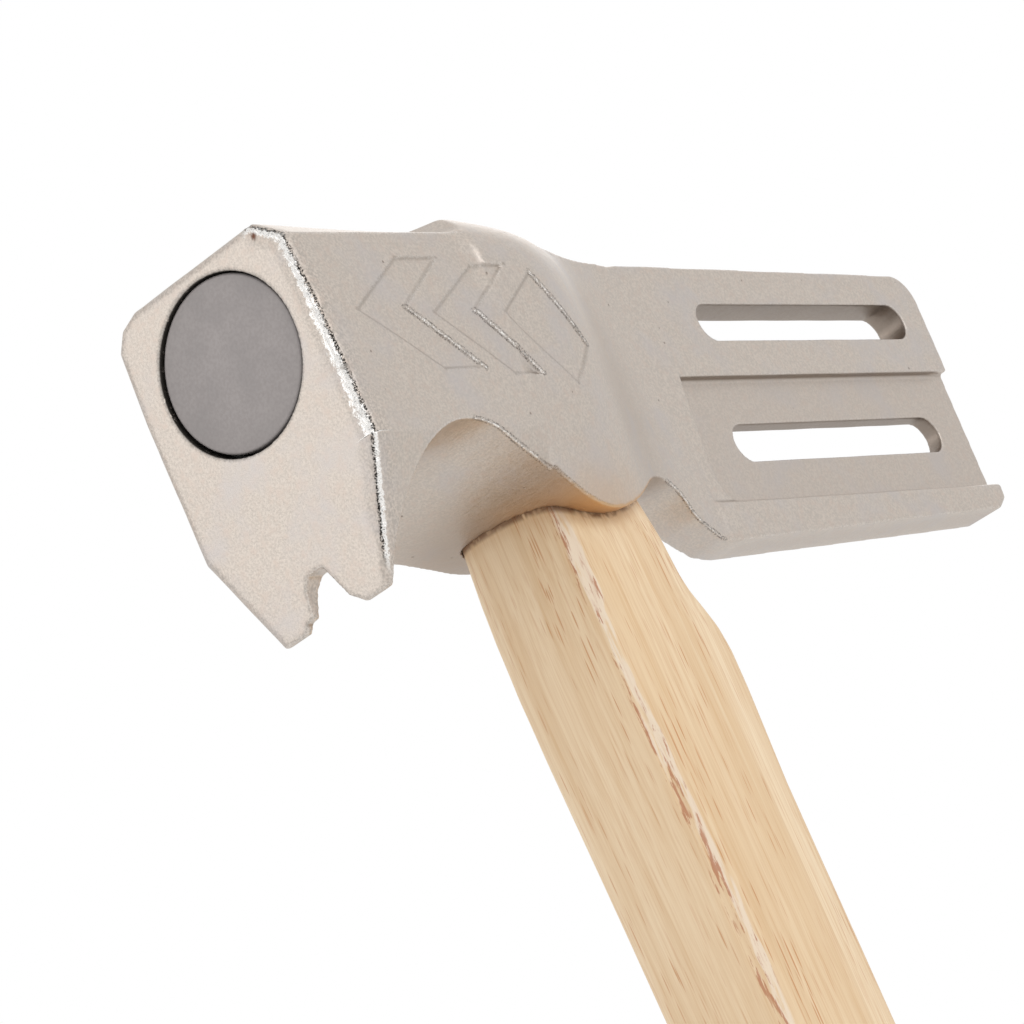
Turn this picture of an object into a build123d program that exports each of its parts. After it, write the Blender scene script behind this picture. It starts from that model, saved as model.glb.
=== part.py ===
"""A magnetic nail-starting hammer: a one-piece cast head on a wedged wooden handle.

Frame: the origin is the middle of the handle's butt face, +Z runs up the handle to the head,
-X is the striking side, +X the long slotted blade, and Y is across the head.
The head's own heights are measured from the centre of the magnet in the striking face,
which is FACE_HEIGHT up the handle. Millimetres throughout.
"""

import os

from build123d import *

# Head, overall
FACE_HEIGHT = 318.0
TOP = 12.2
FACE_X = -45.9
WIDE = 40.0
DEEP = -36.0

# Poll: half-widths at the top, bevel, shoulder, middle, kink and foot of its cross-section,
# at the striking face and where it meets the eye
POLL_X = (FACE_X, -17.2)
POLL_NEAR = ((9.8, 11.0, 13.6, 14.1, 14.5, 6.2), (8.4, 10.2, 14.3, 15.2, 14.3, 6.4))
POLL_FAR = ((9.8, 12.4, 14.0, 14.4, 14.3, 6.3), (8.4, 11.2, 14.3, 15.2, 14.2, 6.4))
BEVEL_Z = 11.2
POLL_SHOULDER_Z = 9.0
NEAR_KINK_Z = -16.0
FAR_KINK_Z = -17.6
FACE_ROUND = 1.2

# Eye block: x and half-widths of each cross-section, from the poll to the blade
EYE_SECTIONS = (
    (-14.8, 12.0, 14.9, 15.5, 13.9, 6.9),
    (-7.0, 11.0, 14.5, 15.4, 13.6, 6.9),
    (0.0, 9.5, 13.0, 14.4, 12.9, 7.0),
    (7.0, 7.7, 10.1, 11.2, 10.2, 5.6),
    (14.0, 5.6, 6.6, 7.1, 6.6, 4.0),
    (21.0, 3.7, 3.9, 4.0, 3.9, 3.2),
    (30.0, 2.5, 2.4, 2.3, 2.5, 3.0),
)
EYE_SHOULDER_Z = 8.4
EYE_KINK_Z = -16.7
EYE_BEVEL = 0.9

# Underside, x and z: the arch behind the prongs, the lip round the eye (it hangs lower on the -Y side)
# and the scoop up to the blade's foot
ARCH = ((-43.6, -26.3), (-41.0, -22.0), (-37.2, -17.9), (-33.6, -15.8), (-28.0, -14.8), (-23.4, -16.2))
LIP_START = (-19.0, -18.5)
LOW_LIP = ((-13.0, -21.9), (-8.6, -25.0), (-4.6, -26.4), (-0.5, -25.9), (3.6, -24.2))
HIGH_LIP = ((-13.0, -19.7), (-8.6, -20.3), (-4.6, -20.9), (-0.5, -21.1), (3.6, -21.1))
LIP_END = (9.5, -20.8)
SCOOP = ((15.0, -19.2), (19.5, -19.1), (22.4, -20.6), (24.0, -23.4), (27.0, -25.7), (31.5, -26.9))
SCOOP_TANGENTS = ((1, 0.2), (1, -0.05))

# Prongs: how far down, how thick and how round their tips are, and how far back the cut round them runs
PRONG_TIP_Z = -31.2
FAR_PRONG_TIP_Z = -30.7
PRONG_TIP_THICK = 0.9
PRONG_TIP_ROUND = 1.6
PRONG_CUT_DEPTH = 13.0

# Nail notch between the prongs, y and z: up the near prong's edge, across the top, down the far prong's
NOTCH_NEAR = ((-4.4, PRONG_TIP_Z), (-2.6, -29.6), (-1.5, -27.0))
NOTCH_TOP = ((-0.7, -25.2), (1.6, -25.2))
NOTCH_FAR = ((2.5, -26.6), (3.0, -29.6), (4.1, -29.8), (4.6, FAR_PRONG_TIP_Z))
NOTCH_ROUND = 0.7

# Chevrons sunk in the cheeks: tip x and z, length, rise, fall, arm thickness and depth of the notch behind
CHEVRON_DEEP = 0.45
CHEVRON_NOTCH_RISE = 0.2
CHEVRONS = (
    (-39.6, -1.0, 10.6, 6.6, 7.6, 7.2, 8.2),
    (-27.0, -1.6, 10.2, 5.9, 7.8, 5.6, 7.4),
)
CHEVRON_PANEL = ((-14.5, -1.8), (-6.9, 3.4), (0.1, -5.6), (-5.6, -10.8))

# Magnet in the striking face
MAGNET_R = 10.0
MAGNET_THICK = 5.0
MAGNET_SUNK = 0.4
POCKET_GAP = 0.3
BOND_THICK = 0.5

# Blade
BLADE_START = EYE_SECTIONS[-1][0]
BLADE_END = 100.9
BLADE_END_LOW = 98.5
BLADE_TOP_END = 11.2
BLADE_LOW_START = SCOOP[-1][1]
BLADE_LOW_END = -25.1
BLADE_CORNER = 4.2
BAND_HALF = 2.3
WEB_HALF = 1.15
LIP_HALF = 3.0
LIP_ROUND = 0.7
LIP_END_SLOPE = (0.4, 1.4)
LIP_END_CUT = 2.6
STEP_Z = -3.8
LIP_TOP_Z = -21.4
PAN_START = ((35.4, STEP_Z), (33.4, -15.5), (33.4, LIP_TOP_Z))
PAN_ROUND = 3.0
SLOT_WIDE = 5.2
UPPER_SLOT = (45.2, 94.7, 4.0)
LOWER_SLOT = (42.8, 92.2, -12.8)

# Handle: height, front, rear and half-width of each cross-section, from the neck to the butt
NECK_Z = -28.0
HANDLE_SECTIONS = (
    (NECK_Z, -11.2, 9.0, 9.3),
    (-33.0, -11.5, 9.4, 9.4),
    (-35.0, -11.6, 10.0, 9.4),
    (-37.5, -11.7, 11.3, 9.5),
    (-40.0, -11.8, 12.4, 9.6),
    (-43.0, -11.8, 13.0, 9.6),
    (-48.0, -11.8, 12.9, 9.6),
    (-60.0, -11.5, 12.1, 9.5),
    (-95.0, -10.7, 12.0, 9.3),
    (-150.0, -11.0, 12.0, 9.3),
    (-205.0, -13.0, 13.0, 10.4),
    (-255.0, -14.6, 14.6, 11.4),
    (-290.0, -14.4, 14.8, 11.4),
    (-FACE_HEIGHT, -15.0, 16.4, 12.2),
)
SIDE_BOW = 0.13
CORNER_SHARE = 0.42
BUTT_CHAMFER = 2.0

# Eye hole and tenon: height, front, rear and half-width of the waist and of the top
EYE_WAIST = (-6.0, -10.8, 6.6, 7.0)
EYE_TOP = (TOP, -11.4, 6.6, 7.2)
EYE_GAP = 0.12
TENON_SUNK = 0.5

# Wedges
KERF_DEPTH = 24.0
WOOD_WEDGE_DEPTH = 20.0
WOOD_WEDGE_TOP = 4.0
WOOD_WEDGE_TIP = 0.9
STEEL_WEDGE_X = (-7.4, 2.4)
STEEL_WEDGE_DEPTH = 13.0
STEEL_WEDGE_TOP = 2.2
STEEL_WEDGE_TIP = 0.5
STEEL_WEDGE_LONG = 9.0


def side_face(*lines):
    """A face in the head's side view, x along the head and z up, from its outline's pieces."""
    return make_face(Plane.XZ * Curve(lines))


def across(face, half=WIDE / 2):
    """The face given thickness on both sides of the head's middle plane."""
    return extrude(face, amount=half, both=True)


def polygon_section(x, near, far, inset):
    """The poll's outline at x: flat top, bevels, cheeks, and sides that taper below the kink."""
    heights = (TOP, BEVEL_Z, POLL_SHOULDER_Z, 0.0)
    near_side = [(inset - half, z) for half, z in zip(near, heights + (NEAR_KINK_Z, DEEP))]
    far_side = [(half - inset, z) for half, z in zip(far, heights + (FAR_KINK_Z, DEEP))]
    return make_face(Plane.YZ.offset(x) * Polyline(*near_side, *reversed(far_side), close=True))


def bowed_section(x, halves, inset):
    """The eye block's outline at x: flat top and foot between two smoothly bowed sides."""
    heights = (TOP, EYE_SHOULDER_Z, 0.0, EYE_KINK_Z, DEEP)
    right = [(half - inset, z) for half, z in zip(halves, heights)]
    left = [(-y, z) for y, z in reversed(right)]
    outline = [Spline(*right), Line(right[-1], left[0]), Spline(*left), Line(left[-1], right[0])]
    return make_face(Plane.YZ.offset(x) * Curve(outline))


def blank(inset=0.0):
    """The head's outer form from face to blade, before its underside is cut."""
    face, neck = (
        polygon_section(x, near, far, inset) for x, near, far in zip(POLL_X, POLL_NEAR, POLL_FAR)
    )
    first = EYE_SECTIONS[0]
    halves = (first[1], first[1] + EYE_BEVEL, *first[2:])
    shoulder = polygon_section(first[0], halves, halves, inset)
    poll = loft([face, neck], ruled=True)
    ramp = loft([neck, shoulder], ruled=True)
    if not inset:
        poll = fillet(poll.edges().group_by(Axis.X)[0], FACE_ROUND)
    return poll + ramp + loft([bowed_section(x, halves, inset) for x, *halves in EYE_SECTIONS])


def underside_profile(y, lip):
    """The foot of the casting seen from the side, with its own run of lip points."""
    prong_back = FACE_X + PRONG_TIP_THICK
    arch = Spline((prong_back, PRONG_TIP_Z), *ARCH)
    eye_lip = Spline(ARCH[-1], LIP_START, *lip, LIP_END, SCOOP[0])
    scoop = Spline(*SCOOP, tangents=SCOOP_TANGENTS)
    outside = Polyline(
        SCOOP[-1],
        (BLADE_END + WIDE, BLADE_LOW_END),
        (BLADE_END + WIDE, 2 * DEEP),
        (prong_back, 2 * DEEP),
    )
    close = Line((prong_back, 2 * DEEP), (prong_back, PRONG_TIP_Z))
    return Pos(0, y, 0) * side_face(arch, eye_lip, scoop, outside, close)


def underside():
    """What the casting lacks below its arch, eye lip and rear scoop; its lip hangs lower on one side."""
    low = underside_profile(-WIDE / 2, LOW_LIP)
    high = underside_profile(WIDE / 2, HIGH_LIP)
    return loft([low, high], ruled=True)


def prong_ends():
    """What is taken off round the two prong tips, with the nail notch between them."""
    near_tip = (-tip_half(POLL_NEAR[0], NEAR_KINK_Z, PRONG_TIP_Z), PRONG_TIP_Z)
    far_tip = (tip_half(POLL_FAR[0], FAR_KINK_Z, FAR_PRONG_TIP_Z), FAR_PRONG_TIP_Z)
    shoulders = (-WIDE / 2, FAR_KINK_Z), (WIDE / 2, FAR_KINK_Z)
    notch = NOTCH_NEAR + NOTCH_TOP + NOTCH_FAR
    prongs = make_face(Polyline(shoulders[0], near_tip, *notch, far_tip, shoulders[1], close=True))
    for corners, radius in (((near_tip, far_tip), PRONG_TIP_ROUND), (NOTCH_TOP, NOTCH_ROUND)):
        prongs = fillet([nearest_vertex(prongs, corner) for corner in corners], radius)
    around = Pos(0, FAR_KINK_Z - WIDE / 2) * Rectangle(2 * WIDE, WIDE) - prongs
    return extrude(Plane.YZ.offset(FACE_X) * around, amount=PRONG_CUT_DEPTH, both=True)


def nearest_vertex(face, point):
    """The vertex of a flat face that lies at a point of its outline."""
    return face.vertices().sort_by_distance((*point, 0))[0]


def tip_half(halves, kink_z, tip_z):
    """A side's half-width at its prong tip, on its straight run from kink to foot."""
    kink, foot = halves[-2:]
    return kink + (foot - kink) * (kink_z - tip_z) / (kink_z - DEEP)


def chevron(tip_x, tip_z, long, rise, fall, thick, notch):
    """One arrow-shaped outline pointing at the striking face; a notch of 0 leaves its back straight."""
    return Polyline(
        (tip_x, tip_z),
        (tip_x + long, tip_z + rise),
        (tip_x + long + thick, tip_z + rise),
        (tip_x + notch, tip_z + CHEVRON_NOTCH_RISE),
        (tip_x + long + thick, tip_z - fall),
        (tip_x + long, tip_z - fall),
        close=True,
    )


def chevrons():
    """The three arrows sunk in each cheek, cut to one depth all over."""
    outlines = [chevron(*sizes) for sizes in CHEVRONS] + [Polyline(*CHEVRON_PANEL, close=True)]
    cutter = sum((across(make_face(Plane.XZ * outline)) for outline in outlines), Part())
    return cutter - blank(CHEVRON_DEEP)


def blade():
    """The long flat blade: a full-thickness band over a thinner web, with a lip along its foot."""
    start, end, corner = (BLADE_START, TOP), (BLADE_END, BLADE_TOP_END), BLADE_CORNER
    lip_back, lip_rise = LIP_END_SLOPE
    side = make_face(Plane.XZ * Polyline(
        start,
        end,
        (BLADE_END_LOW, LIP_TOP_Z),
        (BLADE_END_LOW - lip_back, BLADE_LOW_END + lip_rise),
        (BLADE_END_LOW - LIP_END_CUT, BLADE_LOW_END),
        (BLADE_START, BLADE_LOW_START),
        close=True,
    ))
    foot = Pos(WIDE * 2, 0, LIP_TOP_Z - WIDE) * Box(WIDE * 4, WIDE, WIDE * 2)
    band = across(side, BAND_HALF)
    band = fillet(band.edges().filter_by(Axis.Y).group_by(Axis.X)[-1].group_by(Axis.Z)[-1], corner)
    lip = across(side, LIP_HALF) & foot
    lip = fillet(lip.edges().filter_by(Axis.X).group_by(Axis.Z)[-1], LIP_ROUND)
    return band + lip


def stadium(left, right, height):
    """A round-ended slot cut right through the blade."""
    middle = Pos((left + right) / 2, height) * SlotOverall(right - left, SLOT_WIDE)
    return across(Plane.XZ * middle)


def blade_recess():
    """The shallow pan sunk in both sides of the blade, from the step down to the lip, open at the end."""
    pan = make_face(Plane.XZ * Polyline(*PAN_START, (WIDE * 3, LIP_TOP_Z), (WIDE * 3, STEP_Z), close=True))
    pan = across(pan)
    pan = fillet(pan.edges().filter_by(Axis.Y).sort_by(Axis.X)[:2].sort_by(Axis.Z)[:1], PAN_ROUND)
    return pan - Box(WIDE * 8, 2 * WEB_HALF, 4 * WIDE)


def grip_section(height, front, rear, half_wide, grow=0.0):
    """Four shallow bows with rounded corners: the handle's section."""
    front -= grow
    rear += grow
    half_wide += grow
    bow_x = SIDE_BOW * half_wide
    bow_y = SIDE_BOW * (rear - front) / 2
    inner = half_wide - bow_y
    middle = (front + rear) / 2
    near_front = (front + bow_x, -inner)
    near_rear = (rear - bow_x, -inner)
    far_rear = (rear - bow_x, inner)
    far_front = (front + bow_x, inner)
    outline = [
        ThreePointArc(near_front, (middle, -half_wide), near_rear),
        ThreePointArc(near_rear, (rear, 0), far_rear),
        ThreePointArc(far_rear, (middle, half_wide), far_front),
        ThreePointArc(far_front, (front, 0), near_front),
    ]
    face = make_face(outline)
    face = fillet(face.vertices(), CORNER_SHARE * inner)
    return Plane.XY.offset(height) * face


def eye(grow=0.0):
    """The eye's inside: the handle's own section at its mouth, a narrow waist, and a flare to the top."""
    mouth = grip_section(*HANDLE_SECTIONS[0], grow=grow)
    waist = grip_section(*EYE_WAIST, grow=grow)
    top = grip_section(*EYE_TOP, grow=grow)
    return loft([mouth, waist]) + loft([waist, top])


def magnet_pocket():
    depth = MAGNET_SUNK + MAGNET_THICK + BOND_THICK
    return Plane.YZ.offset(FACE_X) * Cylinder(
        MAGNET_R + POCKET_GAP, depth, align=(Align.CENTER, Align.CENTER, Align.MIN)
    )


def make_head():
    head = blank() + blade() - underside() - prong_ends() - chevrons()
    head = head - blade_recess() - stadium(*UPPER_SLOT) - stadium(*LOWER_SLOT)
    return head - magnet_pocket() - eye(EYE_GAP)


def make_magnet():
    return Plane.YZ.offset(FACE_X + MAGNET_SUNK) * Cylinder(
        MAGNET_R, MAGNET_THICK, align=(Align.CENTER, Align.CENTER, Align.MIN)
    )


def make_bond():
    """The adhesive that holds the magnet: a cup under it that comes part of the way up its side."""
    cup = Plane.YZ.offset(FACE_X + MAGNET_SUNK + MAGNET_THICK / 2) * Cylinder(
        MAGNET_R + POCKET_GAP, MAGNET_THICK / 2 + BOND_THICK, align=(Align.CENTER, Align.CENTER, Align.MIN)
    )
    return cup - make_magnet()


def taper(x, top_thick, tip_thick, depth, long, turned):
    """A wedge hanging from the tenon's top, thick across Y, or across X when turned."""
    top = TOP - TENON_SUNK
    outline = Polyline(
        (-top_thick / 2, top),
        (top_thick / 2, top),
        (tip_thick / 2, top - depth),
        (-tip_thick / 2, top - depth),
        close=True,
    )
    plane = Plane.XZ if turned else Plane.YZ
    return Pos(x, 0, 0) * extrude(make_face(plane * outline), amount=long / 2, both=True)


def steel_wedges():
    wedges = [
        taper(x, STEEL_WEDGE_TOP, STEEL_WEDGE_TIP, STEEL_WEDGE_DEPTH, STEEL_WEDGE_LONG, True)
        for x in STEEL_WEDGE_X
    ]
    return Part() + wedges


def wood_wedge():
    """The wooden wedge fills the kerf from end to end of the tenon."""
    whole = taper(0, WOOD_WEDGE_TOP, WOOD_WEDGE_TIP, WOOD_WEDGE_DEPTH, WIDE, False)
    return whole & eye()


def make_handle():
    shank = loft([grip_section(*section) for section in HANDLE_SECTIONS], ruled=True)
    shank = chamfer(shank.edges().group_by(Axis.Z)[0], BUTT_CHAMFER)
    tenon = eye() - Pos(0, 0, TOP - TENON_SUNK + WIDE / 2) * Box(WIDE, WIDE, WIDE)
    kerf = taper(0, WOOD_WEDGE_TIP, WOOD_WEDGE_TIP, KERF_DEPTH, WIDE, False)
    return shank + tenon - kerf - wood_wedge() - steel_wedges()


def main():
    os.makedirs("parts", exist_ok=True)
    pieces = {
        "head": make_head(),
        "handle": make_handle(),
        "wood_wedge": wood_wedge() - steel_wedges(),
        "steel_wedges": steel_wedges(),
        "face_magnet": make_magnet(),
        "magnet_bond": make_bond(),
    }
    for node, piece in pieces.items():
        export_step(Pos(0, 0, FACE_HEIGHT) * piece, f"parts/{node}.step")


main()
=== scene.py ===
"""A magnetic nail-starting hammer in a bright studio: satin nickel casting, pale wedged wooden handle."""

from math import ceil, pi, radians

import bmesh
import bpy
import numpy as np
from bpy.props import FloatProperty, FloatVectorProperty, IntProperty, PointerProperty
from mathutils import Euler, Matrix, Vector, kdtree, noise


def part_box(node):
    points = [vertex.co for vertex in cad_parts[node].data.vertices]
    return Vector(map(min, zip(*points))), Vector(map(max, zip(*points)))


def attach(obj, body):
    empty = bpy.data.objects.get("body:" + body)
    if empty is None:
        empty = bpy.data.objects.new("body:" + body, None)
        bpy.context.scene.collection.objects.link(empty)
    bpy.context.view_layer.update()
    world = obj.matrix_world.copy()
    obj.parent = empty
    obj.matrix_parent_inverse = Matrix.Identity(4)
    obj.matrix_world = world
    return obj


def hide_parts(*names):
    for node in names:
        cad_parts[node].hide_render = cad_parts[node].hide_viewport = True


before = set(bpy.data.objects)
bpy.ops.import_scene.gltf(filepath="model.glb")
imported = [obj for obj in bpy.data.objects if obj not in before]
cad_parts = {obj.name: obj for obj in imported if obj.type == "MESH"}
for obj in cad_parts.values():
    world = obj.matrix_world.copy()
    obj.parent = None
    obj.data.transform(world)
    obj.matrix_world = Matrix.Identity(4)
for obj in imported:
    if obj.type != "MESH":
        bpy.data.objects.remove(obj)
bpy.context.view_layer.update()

BODY = "root"
MM = 0.001
MERGE = 1e-6

bl_info = {
    "name": "Nail-starting hammer",
    "version": (1, 0, 0),
    "blender": (4, 5, 0),
    "location": "View3D > Sidebar > Hammer",
    "description": "Builds the finished look of a magnetic hammer round its CAD frame",
    "category": "Object",
}

# Places on the head, worked out from the frame
HEAD_LOW, HEAD_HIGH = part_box("head")
MAGNET_LOW, MAGNET_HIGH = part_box("face_magnet")
HANDLE_HALF_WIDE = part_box("handle")[1].y
MAGNET_MIDDLE = (MAGNET_LOW + MAGNET_HIGH) / 2
MAGNET_RADIUS = MAGNET_HIGH.y
FACE_X = HEAD_LOW.x
KINK_Z = MAGNET_MIDDLE.z - 16 * MM
POLL_END_X = -14.8 * MM
BLADE_START_X = 30 * MM
SEAMS = (POLL_END_X, BLADE_START_X)
BLADE_MIDDLE_Z = MAGNET_MIDDLE.z - 5 * MM
EYE_MOUTH_Z = (HEAD_LOW.z + 1 * MM, MAGNET_MIDDLE.z - 15 * MM)
RUST_PLACE = (FACE_X, -10.0 * MM, MAGNET_MIDDLE.z + 10.5 * MM)

# Sizes of the head's details
FACE_ROUND = 1.2 * MM
NEAR_CORNER_Y = (-8.4 * MM, -9.2 * MM)
BURR_REACH = 4 * MM
POCKET_DEEP = 6.5 * MM
POCKET_WALL = (0.55 * MM, 0.35 * MM)
WEB_FACE_Y = (1.9 * MM, 1.4 * MM)
SLOTS_HALF_HIGH = 14 * MM
PLAIN_TIP = 4 * MM
MAGNET_EASE = 0.35 * MM
MAGNET_SHIFT = Vector((0, -0.1 * MM, 0.1 * MM))

# How the skins are worked: the angle of an arris, how seams are smoothed, and the lengths of waves
SHARP = radians(28)
ON_LINE = 0.05 * MM
SEAM_REACH = 2.2 * MM
SEAM_ROUNDS = 30
CAST_WAVES = (7 * MM, 7 * MM, 7 * MM)
BURR_WAVES = (0.55 * MM, 0.55 * MM, 0.8 * MM)
HAND_WAVES = (16 * MM, 16 * MM, 42 * MM)
TORN_WAVES = (0.9 * MM, 0.9 * MM, 5 * MM)
CAST_SEED, BURR_SEED, HAND_SEED, TORN_SEED = 3, 11, 5, 21

# Colours of the casting, among them painted highlights, painted dark reflections and painted shade
ROSY = (0.62, 0.51, 0.44)
COOL = (0.56, 0.53, 0.53)
PIT = (0.16, 0.12, 0.09)
# Painted highlight and painted dark reflection on the face's torn near arris
BARE_METAL_HIGHLIGHT = (0.97, 0.95, 0.92)
RIM_DARK_REFLECTION = (0.02, 0.018, 0.016)
# Worn outer arrises with a painted glint, and painted shade in inner corners
WEAR_AND_GLINT = (0.93, 0.90, 0.86)
CORNER_SHADE = (0.20, 0.155, 0.12)
GLINT = (0.97, 0.94, 0.90)
GLINT_SHADOW = (0.06, 0.05, 0.045)
# Painted shade on the sunk web, in the slots and under the lip, and a painted reflection of the wood
WEB_SHADE = (0.46, 0.39, 0.34)
SLOT_SHADE = (0.20, 0.15, 0.115)
LIP_SHADE = (0.34, 0.25, 0.18)
WOOD_REFLECTION = (0.68, 0.43, 0.22)
# The adhesive's colour, which is also painted on the magnet pocket's wall and floor
ADHESIVE_AND_POCKET_BLACK = (0.03, 0.026, 0.022)
ADHESIVE_DEEP = (0.008, 0.007, 0.006)
RUST = (0.15, 0.045, 0.012)

# Colours of the magnet, the steel wedges and the floor, each from its darker to its paler tone
MAGNET_GREYS = ((0.30, 0.272, 0.264), (0.335, 0.305, 0.296))
MAGNET_MOTTLE = (0.295, 0.272, 0.266)
STEEL_GREYS = ((0.30, 0.28, 0.27), (0.52, 0.50, 0.48))
FLOOR_WHITES = ((0.86, 0.86, 0.855), (0.9, 0.9, 0.895))

# Colours of the wood, and of the painted shadow where it enters the head
STREAK = (0.76, 0.54, 0.32)
PALE_STREAK = (0.92, 0.78, 0.575)
GRAIN_LINE = (0.72, 0.47, 0.25)
FIBRE = (0.68, 0.43, 0.22)
PORE = (0.56, 0.22, 0.065)
FRONT_SHADE = (0.62, 0.45, 0.29)
TORN_FIBRE = (0.90, 0.78, 0.65)
GASH = (0.46, 0.17, 0.075)
# Painted shadow on the wood where it enters the head
NECK_SHADOW = (0.52, 0.30, 0.14)
NECK_CONTACT_SHADOW = (0.16, 0.06, 0.02)

# Each softbox's place and size in metres, and its share of the key light's power
SOFTBOXES = {
    "key": ((-0.3, -1.2, 0.9), 0.6, 1.0),
    "face": ((-1.1, 0.7, 0.75), 0.5, 0.4),
    "top": ((1.2, 0.45, 1.15), 0.6, 0.5),
}
CAMERA_PLACE = (-0.383752, -0.257761, 0.179067)
CAMERA_TURN = (105.940, 23.093, -49.206)
WHITE = (1, 1, 1, 1)


# ---------------------------------------------------------------- settings


class HeadSettings(bpy.types.PropertyGroup):
    """Surface and colours of the cast head."""

    grain: FloatProperty(
        name="Surface cell", description="Size of the cells that the casting's skin is rebuilt from",
        default=0.22 * MM, min=0.1 * MM, unit="LENGTH", precision=5,
    )
    ease: IntProperty(name="Edge easing", description="How often the arrises are smoothed", default=4, min=0)
    triangles: IntProperty(name="Triangles", description="Most triangles in the head", default=190000)
    swell: FloatProperty(
        name="Skin unevenness", description="Height of the casting's slow waves",
        default=0.05 * MM, unit="LENGTH", precision=5,
    )
    burr: FloatProperty(
        name="Burr height", description="Roughness of the torn plating on the striking face's near edge",
        default=0.2 * MM, unit="LENGTH", precision=5,
    )
    shallow: FloatProperty(
        name="Panel lift", description="How much the chevrons' worn floors are raised",
        default=0.2 * MM, unit="LENGTH", precision=5,
    )
    nickel: FloatVectorProperty(
        name="Nickel", description="Colour of the satin plating", subtype="COLOR",
        default=(0.62, 0.555, 0.495),
    )


class HandleSettings(bpy.types.PropertyGroup):
    """Surface and colours of the wooden handle."""

    grain: FloatProperty(
        name="Surface cell", description="Size of the cells that the wood's skin is rebuilt from",
        default=0.4 * MM, min=0.2 * MM, unit="LENGTH", precision=5,
    )
    ease: IntProperty(name="Edge easing", description="How often the corners are smoothed", default=8, min=0)
    triangles: IntProperty(name="Triangles", description="Most triangles in the handle", default=190000)
    swell: FloatProperty(
        name="Hand shaping", description="Height of the slow waves that shaping by hand leaves",
        default=0.08 * MM, unit="LENGTH", precision=5,
    )
    torn: FloatProperty(
        name="Torn grain depth", description="Depth of the torn grain along one corner",
        default=0.22 * MM, unit="LENGTH", precision=5,
    )
    cream: FloatVectorProperty(
        name="Sapwood", description="Palest colour of the wood", subtype="COLOR", default=(0.91, 0.72, 0.49),
    )
    tan: FloatVectorProperty(
        name="Growth streaks", description="Darker colour of the wood", subtype="COLOR",
        default=(0.80, 0.58, 0.35),
    )


class StudioSettings(bpy.types.PropertyGroup):
    """Camera and lights."""

    lens: FloatProperty(name="Lens", description="Focal length of the camera in mm", default=143.32)
    tent: FloatProperty(name="Tent light", description="Strength of the white surround", default=0.88)
    key: FloatProperty(name="Key light", description="Power of the large softbox", default=2.6, unit="POWER")


# ---------------------------------------------------------------- materials


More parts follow.
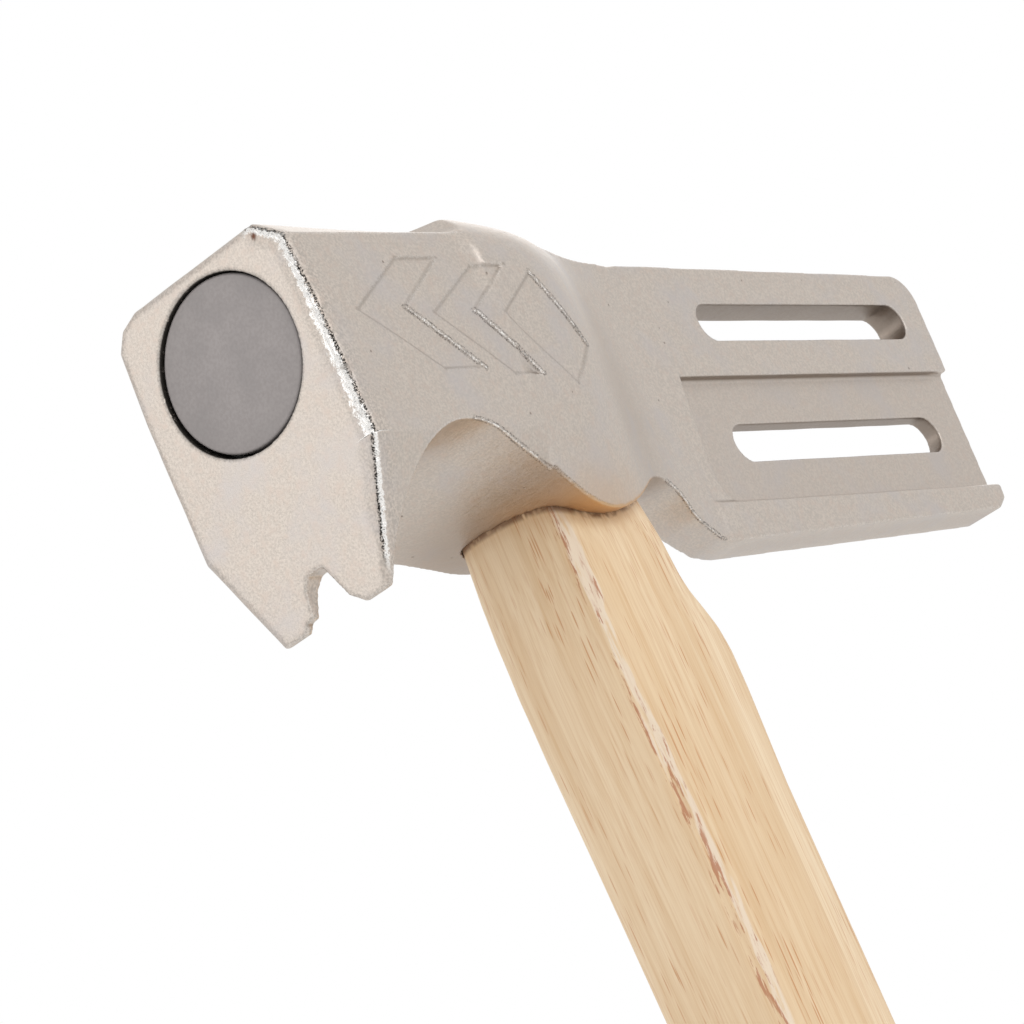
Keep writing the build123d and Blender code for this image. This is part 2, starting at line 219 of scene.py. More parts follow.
class Finish:
    """A material and its node tree, built one named node at a time."""

    def __init__(self, name, metallic=0.0, roughness=0.5):
        self.material = bpy.data.materials.new(name)
        self.material.use_nodes = True
        self.tree = self.material.node_tree
        self.shader = self.tree.nodes["Principled BSDF"]
        self.shader.inputs["Metallic"].default_value = metallic
        self.shader.inputs["Roughness"].default_value = roughness

    def node(self, kind, inputs=None, **settings):
        made = self.tree.nodes.new("ShaderNode" + kind)
        for key, value in settings.items():
            setattr(made, key, value)
        for key, value in (inputs or {}).items():
            self.feed(made.inputs[key], value)
        return made

    def feed(self, socket, value):
        """Joins another node's socket to this one, or sets its own value."""
        if isinstance(value, bpy.types.NodeSocket):
            self.tree.links.new(value, socket)
        else:
            socket.default_value = value

    def place(self, scale=(1, 1, 1), centre=(0, 0, 0)):
        """The object's own coordinates about a centre, scaled."""
        where = self.node("TexCoord").outputs["Object"]
        middle = self.node("Mapping", {"Vector": where, "Location": [-c for c in centre]})
        return self.node("Mapping", {"Vector": middle.outputs[0], "Scale": scale}).outputs[0]

    def noise(self, place, scale, detail=3.0, roughness=0.5, distortion=0.0):
        inputs = {"Vector": place, "Scale": scale, "Detail": detail, "Roughness": roughness,
                  "Distortion": distortion}
        return self.node("TexNoise", inputs).outputs["Fac"]

    def streaks(self, stretch, *look, centre=(0, 0, 0)):
        """Noise that varies at its own rate along x, y and z, so that it runs along the slowest."""
        return self.noise(self.place(stretch, centre), 1.0, *look)

    def specks(self, place, scale, size, share, soft):
        """One spot in that share of the cells of a grid, with edges that fade."""
        cells = self.node("TexVoronoi", {"Vector": place, "Scale": scale})
        picked = self.node("SeparateColor", {"Color": cells.outputs["Color"]}).outputs[0]
        chosen = self.span(picked, 1 - share, 1 - share + soft)
        return self.times(self.span(cells.outputs["Distance"], size, size * 0.4), chosen)

    def math(self, operation, first, second=0.0, clamp=False):
        return self.node("Math", {0: first, 1: second}, operation=operation, use_clamp=clamp).outputs[0]

    def times(self, *values):
        """The product of the values."""
        product, *others = values
        for other in others:
            product = self.math("MULTIPLY", product, other)
        return product

    def add(self, base, value, amount=1.0, clamp=False):
        """The base with so much of the value added."""
        part = value if amount == 1.0 else self.times(value, amount)
        return self.math("ADD", base, part, clamp)

    def span(self, value, start, end, low=0.0, high=1.0):
        """Maps start..end smoothly to low..high, held at both ends."""
        inputs = {"Value": value, "From Min": start, "From Max": end, "To Min": low, "To Max": high}
        return self.node("MapRange", inputs, interpolation_type="SMOOTHSTEP").outputs[0]

    def band(self, value, rise, full, fall, end):
        """1 between full and fall, 0 before rise and after end."""
        return self.times(self.span(value, rise, full), self.span(value, end, fall))

    def mix(self, share, first, second):
        """The first colour where the share is 0, the second where it is 1."""
        made = self.node("Mix", data_type="RGBA")
        self.feed(made.inputs[0], share)
        colours = [socket for socket in made.inputs if socket.type == "RGBA"]
        for socket, value in zip(colours, (first, second)):
            self.feed(socket, (*value, 1.0) if isinstance(value, tuple) else value)
        return next(socket for socket in made.outputs if socket.type == "RGBA")

    def tint(self, tone, shade, mask, share=1.0):
        """The tone, with so much of a shade where the mask is 1."""
        return self.mix(mask if share == 1.0 else self.times(mask, share), tone, shade)

    def attribute(self, name):
        return self.node("Attribute", attribute_name=name).outputs["Fac"]

    def bump(self, height, strength, distance):
        return self.node("Bump", {"Height": height, "Strength": strength, "Distance": distance}).outputs[0]

    def set(self, **sockets):
        """Feeds the shader's sockets, and gives the finished material."""
        names = {key.lower().replace(" ", "_"): key for key in self.shader.inputs.keys()}
        for key, value in sockets.items():
            self.feed(self.shader.inputs[names[key]], value)
        return self.material


def nickel_finish(settings):
    """Satin nickel on a sand-cast skin: fine speckle, slow blotches, pits, and torn arrises with painted
    highlights.
    """
    finish = Finish("cast_nickel", metallic=1.0)
    place = finish.place()
    sand = finish.noise(place, 3200, 3, 0.65)
    skin = finish.noise(place, 900, 4, 0.6)
    torn = finish.noise(place, 5200, 3, 0.7)
    ragged = finish.add(finish.noise(place, 1900, 5, 0.75), -0.5)
    pits = finish.specks(place, 420, 0.10, 0.20, 0.02)

    tone = plated_tone(finish, place, tuple(settings.nickel), sand, skin)
    tone = finish.tint(tone, PIT, pits, 0.6)
    tone, white = torn_rim_highlights(finish, tone, torn, ragged)
    tone = arrises_and_hollows(finish, tone, torn, ragged)
    burrs = finish.span(finish.noise(place, 1500, 2), 0.66, 0.70)
    pocket = finish.times(finish.attribute("pocket"), finish.math("SUBTRACT", 1.0, burrs))
    rust = finish.attribute("rust")
    # The pocket's wall and floor are painted near black, with specks of plating left.
    tone = finish.tint(tone, ADHESIVE_AND_POCKET_BLACK, pocket)
    tone = finish.tint(tone, RUST, rust)

    rough = finish.span(sand, 0.3, 0.7, 0.36, 0.50)
    rough = finish.add(rough, white, -0.22)
    rough = finish.add(rough, rust, 0.35, clamp=True)
    height = finish.add(finish.times(sand, 0.6), skin, 0.8)
    height = finish.add(height, pits, -1.5)
    height = finish.add(height, finish.times(finish.attribute("near_rim"), ragged), 2.0)
    scrapes = finish.streaks((1400, 330, 1000), 3, 0.6, 0.4)
    height = finish.add(height, finish.times(finish.attribute("under"), scrapes), 1.3)
    metal = finish.math("SUBTRACT", 1.0, finish.math("MAXIMUM", rust, finish.times(pocket, 0.9)))
    normal = finish.bump(height, 0.35, 0.12 * MM)
    return finish.set(base_color=tone, roughness=rough, normal=normal, metallic=metal)


def plated_tone(finish, place, base, sand, skin):
    """The plating's own colour: sandy speckle, calmer away from the face, and warm and cool patches."""
    pale = tuple(min(1.0, c * 1.16) for c in base)
    deep = tuple(c * 0.80 for c in base)
    along = finish.node("SeparateXYZ", {"Vector": place}).outputs["X"]
    coarse = finish.span(along, FACE_X + 1 * MM, FACE_X + 4 * MM, 1.0, 0.55)
    speckle = finish.mix(finish.span(sand, 0.36, 0.66), deep, pale)
    tone = finish.mix(coarse, base, speckle)
    tone = finish.tint(tone, ROSY, finish.span(skin, 0.45, 0.75, 0.0, 0.5))
    blotch = finish.noise(place, 130, 3, 0.6)
    return finish.tint(tone, COOL, finish.span(blotch, 0.45, 0.75, 0.0, 0.5))


def torn_rim_highlights(finish, tone, torn, ragged):
    """The striking face's near arris, where the plating tore: a painted highlight line, with a painted dark
    reflection line beside it.
    """
    near, rim = finish.attribute("near_rim"), finish.attribute("rim")
    # The white line is a painted highlight on the torn plating; the dark line and flecks are painted dark
    # reflections.
    white = finish.band(finish.add(rim, ragged, 2.6), -1.15, -0.85, 0.0, 0.2)
    white = finish.times(white, finish.span(rim, 0.5, 0.1), near, finish.span(torn, 0.36, 0.43))
    reflection_line = finish.band(finish.add(rim, ragged, 1.3), -0.2, 0.05, 0.4, 0.62)
    line = finish.times(reflection_line, near, finish.span(torn, 0.44, 0.52))
    flecks = finish.times(finish.span(torn, 0.57, 0.62), finish.span(rim, -1.0, -0.2))
    dark_reflection = finish.math("MAXIMUM", line, finish.times(flecks, white, 0.8))
    return finish.tint(finish.tint(tone, BARE_METAL_HIGHLIGHT, white), RIM_DARK_REFLECTION, dark_reflection), white


def arrises_and_hollows(finish, tone, torn, ragged):
    """Worn outer arrises with painted glints, painted shade in inner corners and darker hollows, painted
    glints below the cheek, and a painted reflection of the wood.
    """
    # Outer arrises get real wear with a painted glint on it.
    worn = finish.times(finish.span(finish.attribute("edge"), 0.40, 0.12), finish.span(torn, 0.44, 0.60))
    # Inner corners get painted shade.
    corner_shade = finish.span(finish.attribute("inside"), 0.45, 0.05)
    # Painted glints below the cheek, with painted dark reflections beside them.
    glint = finish.add(finish.attribute("glint"), ragged, 0.5)
    shadow = finish.times(finish.band(glint, 0.12, 0.2, 0.36, 0.5), finish.span(torn, 0.47, 0.56))
    flash = finish.times(finish.span(glint, 0.24, 0.08), finish.span(torn, 0.44, 0.54))
    by_the_lip = finish.times(finish.attribute("under"), finish.span(finish.attribute("mouth"), 13, 0.5))
    # The sunk web, the slot walls and the lip's underside get painted shade.
    for shade, mask, share in (
        (WEAR_AND_GLINT, worn, 0.4),
        (CORNER_SHADE, corner_shade, 0.48),
        (GLINT_SHADOW, shadow, 0.7),
        (GLINT, flash, 1.0),
        (WEB_SHADE, finish.attribute("web"), 0.2),
        (SLOT_SHADE, finish.attribute("slot"), 0.62),
        (LIP_SHADE, by_the_lip, 0.62),
        # Painted reflection of the wood on the lip's underside.
        (WOOD_REFLECTION, finish.attribute("warm"), 0.85),
    ):
        tone = finish.tint(tone, shade, mask, share)
    return tone


def magnet_finish():
    """A nickel-coated ceramic disc: smooth neutral grey with faint mottling."""
    finish = Finish("magnet_grey", metallic=0.35)
    place = finish.place()
    fine = finish.noise(place, 2600, 2, 0.5)
    slow = finish.noise(place, 220, 3, 0.5)
    tone = finish.mix(finish.span(fine, 0.3, 0.7), *MAGNET_GREYS)
    tone = finish.tint(tone, MAGNET_MOTTLE, finish.span(slow, 0.4, 0.7, 0.0, 0.4))
    rough = finish.span(slow, 0.3, 0.7, 0.42, 0.5)
    return finish.set(base_color=tone, roughness=rough, normal=finish.bump(fine, 0.08, 0.05 * MM))


def bond_finish():
    """Black adhesive, set in soft lumps."""
    finish = Finish("black_adhesive", roughness=0.5)
    lumps = finish.noise(finish.place(), 1800, 3, 0.6)
    tone = finish.mix(lumps, ADHESIVE_DEEP, ADHESIVE_AND_POCKET_BLACK)
    return finish.set(base_color=tone, normal=finish.bump(lumps, 0.5, 0.1 * MM))


def wood_finish(settings, name="pale_hardwood"):
    """Pale open-grained wood: streaks up the handle, short reddish pores, torn fibres on one corner."""
    finish = Finish(name)
    streak = finish.streaks((900, 900, 14), 4, 0.6, 0.3)
    broad = finish.streaks((170, 170, 6), 3, 0.5, 0.4)
    fibre = finish.streaks((5200, 5200, 90), 3, 0.6)
    line = finish.streaks((2300, 2300, 26), 3, 0.6, centre=(0.02, 0, 0.01))
    tone = finish.mix(finish.span(broad, 0.38, 0.72), tuple(settings.cream), tuple(settings.tan))
    tone = finish.tint(tone, STREAK, finish.span(streak, 0.42, 0.68, 0.0, 0.75))
    tone = finish.tint(tone, PALE_STREAK, finish.span(streak, 0.42, 0.25, 0.0, 0.35))
    tone = finish.tint(tone, GRAIN_LINE, finish.span(line, 0.50, 0.70, 0.0, 0.5))
    tone = finish.tint(tone, FIBRE, finish.span(fibre, 0.40, 0.72, 0.0, 0.36))

    patchy = finish.span(finish.streaks((240, 240, 22), 2), 0.40, 0.58, 0.3, 1.0)
    fine = finish.specks(finish.place((3300, 3300, 170)), 1.0, 0.40, 0.5, 0.3)
    coarse = finish.specks(finish.place((2200, 2200, 85), (0.01, 0.02, 0.03)), 1.0, 0.33, 0.55, 0.3)
    pore = finish.times(finish.math("MAXIMUM", fine, coarse), patchy)
    tone = finish.tint(tone, PORE, pore, 0.75)
    tone = finish.tint(tone, FRONT_SHADE, finish.span(finish.attribute("front"), 0.55, 1.0, 0.0, 0.22))

    torn = finish.streaks((1700, 1700, 170), 4, 0.7)
    wander = finish.add(finish.streaks((260, 260, 45), 3, 0.6), -0.5)
    ragged = finish.add(finish.attribute("corner"), wander, 0.5)
    fibres = finish.times(finish.band(ragged, -0.17, -0.1, 0.08, 0.15), finish.span(torn, 0.32, 0.48))
    gash = finish.times(finish.span(torn, 0.53, 0.60), finish.band(ragged, -0.28, -0.2, -0.08, 0.02))
    nick = finish.times(finish.span(torn, 0.60, 0.68), fibres)
    tone = finish.tint(tone, TORN_FIBRE, fibres, 0.65)
    tone = finish.tint(tone, GASH, finish.math("MAXIMUM", gash, nick), 0.8)

    # Painted shadow on the wood where it enters the head: a soft band and a dark contact line.
    neck = finish.attribute("neck")
    tone = finish.tint(tone, NECK_SHADOW, finish.span(neck, 2.5, 0.2, 0.0, 0.35))
    tone = finish.tint(tone, NECK_CONTACT_SHADOW, finish.span(neck, 0.8, 0.1, 0.0, 0.85))
    rough = finish.add(finish.span(fibre, 0.3, 0.7, 0.46, 0.6), fibres, 0.2)
    height = finish.add(finish.times(fibre, 0.5), pore, -1.2)
    height = finish.add(height, finish.times(fibres, torn), 2.0)
    return finish.set(base_color=tone, roughness=rough, normal=finish.bump(height, 0.3, 0.1 * MM))


def steel_finish():
    """Plain steel with dark and bright scale."""
    finish = Finish("wedge_steel", metallic=1.0)
    scale = finish.noise(finish.place(), 900, 4, 0.6)
    tone = finish.mix(finish.span(scale, 0.35, 0.65), *STEEL_GREYS)
    rough = finish.span(scale, 0.3, 0.7, 0.32, 0.55)
    return finish.set(base_color=tone, roughness=rough, normal=finish.bump(scale, 0.3, 0.1 * MM))


def floor_finish():
    """A pale, barely mottled floor."""
    finish = Finish("studio_floor", roughness=0.6)
    return finish.set(base_color=finish.mix(finish.noise(finish.place(), 6, 2), *FLOOR_WHITES))


# ---------------------------------------------------------------- geometry


def merged_copy(node):
    """A bmesh of a CAD node, its loose triangles joined."""
    shape = bmesh.new()
    shape.from_mesh(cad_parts[node].data)
    bmesh.ops.remove_doubles(shape, verts=shape.verts, dist=MERGE)
    return shape


def new_piece(name, shape):
    mesh = bpy.data.meshes.new(name)
    shape.to_mesh(mesh)
    shape.free()
    piece = bpy.data.objects.new(name, mesh)
    bpy.context.scene.collection.objects.link(piece)
    return piece


def apply_modifiers(piece):
    """Makes the modifiers' result the piece's own mesh."""
    evaluated = piece.evaluated_get(bpy.context.evaluated_depsgraph_get())
    piece.data = bpy.data.meshes.new_from_object(evaluated)
    piece.modifiers.clear()


def rebuild_skin(piece, cell, easing):
    """Even small cells all over, with the arrises eased as plating eases them."""
    remesh = piece.modifiers.new("skin", "REMESH")
    remesh.mode = "VOXEL"
    remesh.voxel_size = cell
    if easing:
        ease = piece.modifiers.new("ease", "SMOOTH")
        ease.factor = 0.5
        ease.iterations = easing
    apply_modifiers(piece)


def soften(piece, amounts, rounds):
    """Smooths the skin more where the amounts say."""
    group = piece.vertex_groups.new(name="soft")
    for index in np.flatnonzero(amounts > 0):
        group.add([int(index)], float(amounts[index]), "REPLACE")
    ease = piece.modifiers.new("soften", "SMOOTH")
    ease.factor = 0.5
    ease.iterations = rounds
    ease.vertex_group = group.name
    apply_modifiers(piece)
    piece.vertex_groups.clear()


def at_seam(edge):
    """True on the small steps where two of the casting's forms were joined."""
    return any(all(abs(v.co.x - seam) < ON_LINE for v in edge.verts) for seam in SEAMS)


def thin_out(piece, triangles):
    """Fewer triangles where the skin is flat, down to the count given."""
    have = sum(len(p.vertices) - 2 for p in piece.data.polygons)
    if have > triangles:
        thin = piece.modifiers.new("thin", "DECIMATE")
        thin.ratio = triangles / have
        apply_modifiers(piece)


def points_and_normals(mesh):
    """Every point's place and normal, one to a row."""
    points = np.zeros(len(mesh.vertices) * 3)
    normals = np.zeros(len(mesh.vertices) * 3)
    mesh.vertices.foreach_get("co", points)
    mesh.vertices.foreach_get("normal", normals)
    return points.reshape(-1, 3), normals.reshape(-1, 3)


def push(mesh, points, normals, heights):
    """Moves every point along its normal by its own height."""
    mesh.vertices.foreach_set("co", (points + normals * heights[:, None]).ravel())
    mesh.update()


def noise_at(points, wavelengths, seed):
    """Smooth noise between -1 and 1 at each point, with its own wavelength along x, y and z."""
    scaled = points / np.array(wavelengths) + seed
    return np.array([noise.noise(p) for p in map(Vector, scaled)])


def keep(mesh, name, values):
    """Stores one number a point, for the materials to read."""
    layer = mesh.attributes.new(name, "FLOAT", "POINT")
    layer.data.foreach_set("value", values.astype(np.float32))


def nearest(points, targets):
    """Each point's distance from the nearest target."""
    tree = kdtree.KDTree(len(targets))
    for index, target in enumerate(targets):
        tree.insert(target, index)
    tree.balance()
    return np.array([tree.find(p)[2] for p in points])


def millimetres_to(points, targets, most=9):
    """The same in millimetres, held at the most that a finish needs."""
    return np.minimum(nearest(points, targets) / MM, most)


def patch_from(start):
    """The faces reached from one without crossing a sharp edge, and the sharp edges round them."""
    patch, border, waiting = {start}, [], [start]
    while waiting:
        for edge in waiting.pop().edges:
            if edge.calc_face_angle() > SHARP:
                border.append(edge)
                continue
            fresh = [face for face in edge.link_faces if face not in patch]
            patch.update(fresh)
            waiting += fresh
    return patch, border


def lift_floors(shape, lift):
    """Raises the sunken panels of the cheeks, which are the patches with inside corners all round."""
    seen = set()
    for face in list(shape.faces):
        if face in seen or abs(face.normal.y) < 0.8:
            continue
        patch, border = patch_from(face)
        seen |= patch
        if all(edge.calc_face_angle_signed() < 0 for edge in border):
            for vert in {v for f in patch for v in f.verts}:
                vert.co.y += lift if face.normal.y > 0 else -lift


def along_edges(shape, wanted, spacing=0.3 * MM):
    """Points spaced along the edges that wanted() picks."""
    found = []
    for edge in shape.edges:
        if edge.is_manifold and wanted(edge):
            start, end = (v.co for v in edge.verts)
            steps = max(1, ceil(edge.calc_length() / spacing))
            found += [start.lerp(end, i / steps) for i in range(steps + 1)]
    return found


def eye_mouth():
    """Points round the lip where the wood enters the casting."""

    def at_the_wood(vert):
        low, high = EYE_MOUTH_Z
        return low < vert.co.z < high and max(abs(vert.co.x), abs(vert.co.y)) < HANDLE_HALF_WIDE

    shape = merged_copy("head")
    found = along_edges(
        shape, lambda e: abs(e.calc_face_angle_signed()) > SHARP and all(map(at_the_wood, e.verts))
    )
    shape.free()
    return found


def smooth_shade(mesh):
    mesh.polygons.foreach_set("use_smooth", [True] * len(mesh.polygons))


def finished(piece, material, slot, *nodes):
    """Gives a piece its material and body, and hides the nodes that it stands for. The record slot is not
    used.
    """
    piece.data.materials.clear()
    piece.data.materials.append(material)
    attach(piece, BODY)
    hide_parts(*nodes)
    return piece


def ramp(values, start, end):
    """0 at the start, 1 at the end, straight between and held beyond."""
    return np.clip((values - start) / (end - start), 0, 1)


# ---------------------------------------------------------------- operators


class HAMMER_OT_head(bpy.types.Operator):
    """Rebuild the casting's skin with eased arrises, slow waves and a torn near edge"""

    bl_idname = "hammer.head"
    bl_label = "Cast head"

    def execute(self, context):
        settings = context.scene.hammer_head
        shape = merged_copy("head")
        lift_floors(shape, settings.shallow)
        shape.normal_update()
        arrises = along_edges(shape, lambda e: e.calc_face_angle_signed() > SHARP and not at_seam(e))
        inside = along_edges(shape, lambda e: e.calc_face_angle_signed() < -SHARP and not at_seam(e))
        glints = along_edges(shape, self.glinting_arris)
        outline = along_edges(
            shape, lambda e: all(abs(v.co.x - FACE_X - FACE_ROUND) < ON_LINE for v in e.verts)
        )
        outline = [Vector((0, p.y, p.z)) for p in outline]
        mouth = eye_mouth()
        piece = new_piece("cast_head", shape)
        rebuild_skin(piece, settings.grain, settings.ease)
        self.smooth_seams(piece)
        self.roughen(piece, outline, settings)
        thin_out(piece, settings.triangles)

        points, normals = points_and_normals(piece.data)
        rim, beside = self.rim_place(points, outline)
        marks = {
            "rim": rim,
            "near_rim": self.near_side(points) * beside,
            "glint": millimetres_to(points, glints),
            "mouth": millimetres_to(points, mouth, 20),
            "slot": self.slot_shade_mask(points, normals),
            "web": ramp(np.abs(points[:, 1]), *WEB_FACE_Y) * self.on_blade(points),
            "warm": self.wood_reflection_mask(points, normals, mouth),
            "edge": millimetres_to(points, arrises),
            "inside": millimetres_to(points, inside),
            "under": ramp(-normals[:, 2], 0.3, 0.6) * (points[:, 0] > FACE_X + 2 * MM),
            "pocket": self.pocket_wall(points),
            "rust": self.rust_spot(points),
        }
        for name, values in marks.items():
            keep(piece.data, name, values)
        smooth_shade(piece.data)
        finished(piece, nickel_finish(settings), "nickel_steel", "head")
        return {"FINISHED"}

    def glinting_arris(self, edge):
        """True on outer arrises of the -Y side over walls that face down and forward, where glints are
        painted.
        """
        if edge.calc_face_angle_signed() < SHARP or at_seam(edge):
            return False
        if any(v.co.y > -1 * MM or not FACE_X + 5 * MM < v.co.x < BLADE_START_X for v in edge.verts):
            return False
        return any(
            f.normal.x < -0.15 and f.normal.z < -0.2 and abs(f.normal.y) < 0.6 for f in edge.link_faces
        )

    def smooth_seams(self, piece):
        """Fairs the small steps where the poll, the eye block and the blade meet."""
        points, _ = points_and_normals(piece.data)
        away = np.min([np.abs(points[:, 0] - seam) for seam in SEAMS], axis=0)
        soften(piece, ramp(away, SEAM_REACH, SEAM_REACH / 3), SEAM_ROUNDS)

    def roughen(self, piece, outline, settings):
        """The casting's slow waves, and the burr along the face's near arris."""
        points, normals = points_and_normals(piece.data)
        height = settings.swell * noise_at(points, CAST_WAVES, CAST_SEED)
        rim, beside = self.rim_place(points, outline)
        burr = self.near_side(points) * beside * np.exp(-rim ** 2)
        torn = np.flatnonzero(burr > 0.02)
        height[torn] += settings.burr * burr[torn] * noise_at(points[torn], BURR_WAVES, BURR_SEED)
        push(piece.data, points, normals, height)

    def rim_place(self, points, outline):
        """Each point's place in mm across the face's arris, and a mask that is 1 beside the arris.

        The painted highlight line is below 0, and widest at the kink, and the painted dark reflection line
        on the torn plating is above 0.
        Below the kink the two lines change sides.
        """
        close = points[:, 0] < FACE_X + BURR_REACH
        inward = nearest(points[close] * np.array((0, 1, 1)), outline)
        place = (points[close, 0] - FACE_X - inward) / MM
        height = points[close, 2]
        beside = np.zeros(len(points))
        beside[close] = ramp(np.abs(place), 2.5, 2.0)
        wide = 0.9 + 0.45 * ramp(height, HEAD_HIGH.z, KINK_Z + 4 * MM)
        place = np.where(place < 0, place / wide, place)
        rim = np.full(len(points), 4.0)
        rim[close] = np.clip(np.where(height < KINK_Z, -1.7 * place - 0.3, place), -4, 4)
        return rim, beside

    def wood_reflection_mask(self, points, normals, mouth):
        """The lip's underside by the wood, where a reflection of the wood is painted onto the plating."""
        after_arch, before_scoop = (-15 * MM, -7 * MM), (13 * MM, 9 * MM)
        near_half, by_the_wood = (2 * MM, -3 * MM), (9 * MM, 2 * MM)
        along, across = points[:, 0], points[:, 1]
        under = ramp(-normals[:, 2], 0.2, 0.5) * ramp(along, *after_arch)
        near = ramp(across, *near_half) * ramp(along, *before_scoop)
        return under * near * ramp(nearest(points, mouth), *by_the_wood) ** 0.7

    def on_blade(self, points):
        return points[:, 0] > BLADE_START_X + 3 * MM

    def slot_shade_mask(self, points, normals):
        """The walls of the blade's slots and its step, which face along or down the blade and get painted
        shade.
        """
        short_of_tip = points[:, 0] < HEAD_HIGH.x - PLAIN_TIP
        inner = short_of_tip & (np.abs(points[:, 2] - BLADE_MIDDLE_Z) < SLOTS_HALF_HIGH)
        return ramp(np.abs(normals[:, 1]), 0.85, 0.45) * inner * self.on_blade(points)

    def near_side(self, points):
        """1 on the -Y side of the face, from the top corner down to the prong's tip."""
        return ramp(points[:, 1], *NEAR_CORNER_Y) * (points[:, 0] < FACE_X + BURR_REACH)

    def pocket_wall(self, points):
        """1 on the wall and floor of the magnet's pocket, which the finish paints near black."""
        away = np.hypot(points[:, 1] - MAGNET_MIDDLE.y, points[:, 2] - MAGNET_MIDDLE.z)
        inside = ramp(away, *(MAGNET_RADIUS + wall for wall in POCKET_WALL))
        depth = points[:, 0] - FACE_X
        return inside * ramp(depth, 0.05 * MM, 0.25 * MM) * (depth < POCKET_DEEP)

    def rust_spot(self, points):
        """One small rust dot near the top of the striking face, a little taller than wide."""
        away = np.linalg.norm((points - np.array(RUST_PLACE)) * np.array((1, 1.5, 1)), axis=1)
        return ramp(away, 0.55 * MM, 0.3 * MM)


class HAMMER_OT_magnet(bpy.types.Operator):
    """Turn the disc magnet with an eased arris, and the adhesive that holds it"""

    bl_idname = "hammer.magnet"
    bl_label = "Face magnet"

    def execute(self, context):
        shape = bmesh.new()
        bmesh.ops.create_cone(
            shape, cap_ends=True, segments=128, radius1=MAGNET_RADIUS, radius2=MAGNET_RADIUS,
            depth=MAGNET_HIGH.x - MAGNET_LOW.x,
        )
        rims = [e for e in shape.edges if abs(e.verts[0].co.z - e.verts[1].co.z) < MERGE]
        bmesh.ops.bevel(
            shape, geom=rims, offset=MAGNET_EASE, segments=3, profile=0.5, affect="EDGES", material=-1
        )
        bmesh.ops.rotate(shape, verts=shape.verts, matrix=Euler((0, pi / 2, 0)).to_matrix())
        bmesh.ops.translate(shape, verts=shape.verts, vec=MAGNET_MIDDLE + MAGNET_SHIFT)
        piece = new_piece("magnet_disc", shape)
        smooth_by_angle(piece.data)
        finished(piece, magnet_finish(), "magnet", "face_magnet")
        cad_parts["magnet_bond"].data.materials[0] = bond_finish()
        return {"FINISHED"}


def smooth_by_angle(mesh, limit=radians(35)):
    """Smooth shading that breaks at the sharper edges."""
    smooth_shade(mesh)
    shape = bmesh.new()
    shape.from_mesh(mesh)
    for edge in shape.edges:
        edge.smooth = edge.is_manifold and edge.calc_face_angle() < limit
    shape.to_mesh(mesh)
    shape.free()


class HAMMER_OT_handle(bpy.types.Operator):
    """Shape the handle's skin, with slow hand-shaping waves and torn grain on one corner"""

    bl_idname = "hammer.handle"
    bl_label = "Wooden handle"

    def execute(self, context):
        settings = context.scene.hammer_handle
        mouth = eye_mouth()
        piece = new_piece("wooden_handle", merged_copy("handle"))
        rebuild_skin(piece, settings.grain, settings.ease)
        points, normals = points_and_normals(piece.data)
        height = settings.swell * noise_at(points, HAND_WAVES, HAND_SEED)
        corner = np.abs(self.corner_place(normals))
        torn = np.flatnonzero(corner < 0.3)
        rags = np.minimum(noise_at(points[torn], TORN_WAVES, TORN_SEED), 0.1)
        height[torn] += settings.torn * ramp(corner[torn], 0.3, 0.1) * rags
        push(piece.data, points, normals, height)
        thin_out(piece, settings.triangles)
        points, normals = points_and_normals(piece.data)
        keep(piece.data, "corner", self.corner_place(normals))
        keep(piece.data, "front", np.clip(-normals[:, 0], 0, 1) * (normals[:, 1] > -0.6))
        keep(piece.data, "neck", millimetres_to(points, mouth))
        smooth_shade(piece.data)
        finished(piece, wood_finish(settings), "handle_wood", "handle")
        return {"FINISHED"}

    def corner_place(self, normals):
        """0 along the corner between the front and the -Y side, below 0 towards the front."""
        turn = np.arctan2(-normals[:, 1], -normals[:, 0])
        return np.clip((turn - pi / 4) / (pi / 2), -1, 1)


class HAMMER_OT_wedges(bpy.types.Operator):
    """Give the wooden wedge and the two steel ones their finishes"""

    bl_idname = "hammer.wedges"
    bl_label = "Wedges"

    def execute(self, context):
        settings = context.scene.hammer_handle
        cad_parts["wood_wedge"].data.materials[0] = wood_finish(settings, "wedge_wood")
        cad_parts["steel_wedges"].data.materials[0] = steel_finish()
        return {"FINISHED"}


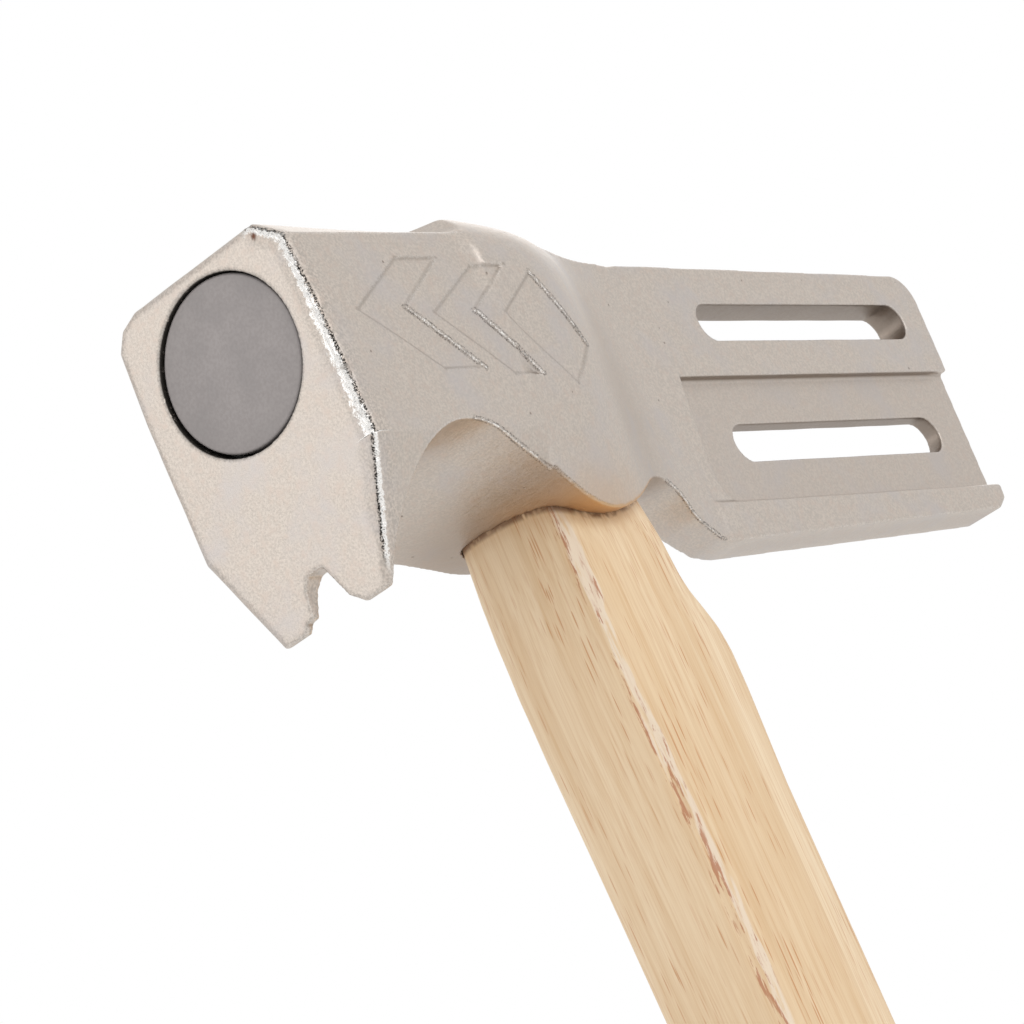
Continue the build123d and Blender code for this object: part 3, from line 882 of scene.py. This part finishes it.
class HAMMER_OT_studio(bpy.types.Operator):
    """Set up the pale floor, the white surround, the softboxes and the camera"""

    bl_idname = "hammer.studio"
    bl_label = "Studio"

    def execute(self, context):
        settings = context.scene.hammer_studio
        self.floor()
        self.surround(context.scene, settings)
        for name, (place, size, share) in SOFTBOXES.items():
            self.softbox(name, place, size, settings.key * share)
        self.camera(context.scene, settings)
        context.scene.view_settings.view_transform = "Standard"
        return {"FINISHED"}

    def floor(self):
        shape = bmesh.new()
        bmesh.ops.create_circle(shape, cap_ends=True, segments=96, radius=3.0)
        floor = new_piece("floor", shape)
        floor.data.materials.append(floor_finish())

    def surround(self, scene, settings):
        """A white tent that lights the hammer at its own strength and shows pure white to the camera."""
        world = bpy.data.worlds.new("tent")
        world.use_nodes = True
        nodes, links = world.node_tree.nodes, world.node_tree.links
        light, seen = nodes["Background"], nodes.new("ShaderNodeBackground")
        for background, strength in ((light, settings.tent), (seen, 1.0)):
            background.inputs["Color"].default_value = WHITE
            background.inputs["Strength"].default_value = strength
        path = nodes.new("ShaderNodeLightPath")
        either = nodes.new("ShaderNodeMixShader")
        links.new(path.outputs["Is Camera Ray"], either.inputs[0])
        links.new(light.outputs[0], either.inputs[1])
        links.new(seen.outputs[0], either.inputs[2])
        links.new(either.outputs[0], nodes["World Output"].inputs["Surface"])
        scene.world = world

    def softbox(self, name, place, size, power):
        """A square lamp that points at the underside of the head."""
        lamp = bpy.data.lights.new(name, "AREA")
        lamp.shape = "SQUARE"
        lamp.size = size
        lamp.energy = power
        holder = bpy.data.objects.new(name, lamp)
        aim = Vector((0, 0, HEAD_LOW.z)) - Vector(place)
        holder.location = place
        holder.rotation_euler = aim.to_track_quat("-Z", "Y").to_euler()
        bpy.context.scene.collection.objects.link(holder)

    def camera(self, scene, settings):
        data = bpy.data.cameras.new("camera")
        data.lens = settings.lens
        data.sensor_width = 36
        data.clip_start = 0.01
        camera = bpy.data.objects.new("camera", data)
        camera.location = CAMERA_PLACE
        camera.rotation_euler = Euler([radians(angle) for angle in CAMERA_TURN])
        scene.collection.objects.link(camera)
        scene.camera = camera


class HAMMER_PT_panel(bpy.types.Panel):
    """The hammer's settings and operators"""

    bl_label = "Nail-starting hammer"
    bl_idname = "HAMMER_PT_panel"
    bl_space_type = "VIEW_3D"
    bl_region_type = "UI"
    bl_category = "Hammer"

    def draw(self, context):
        for name in GROUPS:
            group = getattr(context.scene, name)
            box = self.layout.box()
            for key in group.__annotations__:
                box.prop(group, key)
        for operator in OPERATORS:
            self.layout.operator(operator.bl_idname)


OPERATORS = (HAMMER_OT_head, HAMMER_OT_magnet, HAMMER_OT_handle, HAMMER_OT_wedges, HAMMER_OT_studio)
GROUPS = {"hammer_head": HeadSettings, "hammer_handle": HandleSettings, "hammer_studio": StudioSettings}
CLASSES = (*GROUPS.values(), *OPERATORS, HAMMER_PT_panel)


def register():
    for made in CLASSES:
        bpy.utils.register_class(made)
    for name, group in GROUPS.items():
        setattr(bpy.types.Scene, name, PointerProperty(type=group))


def unregister():
    for name in GROUPS:
        delattr(bpy.types.Scene, name)
    for made in reversed(CLASSES):
        bpy.utils.unregister_class(made)


def main():
    register()
    bpy.ops.hammer.head()
    bpy.ops.hammer.magnet()
    bpy.ops.hammer.handle()
    bpy.ops.hammer.wedges()
    bpy.ops.hammer.studio()


if __name__ == "__main__":
    main()
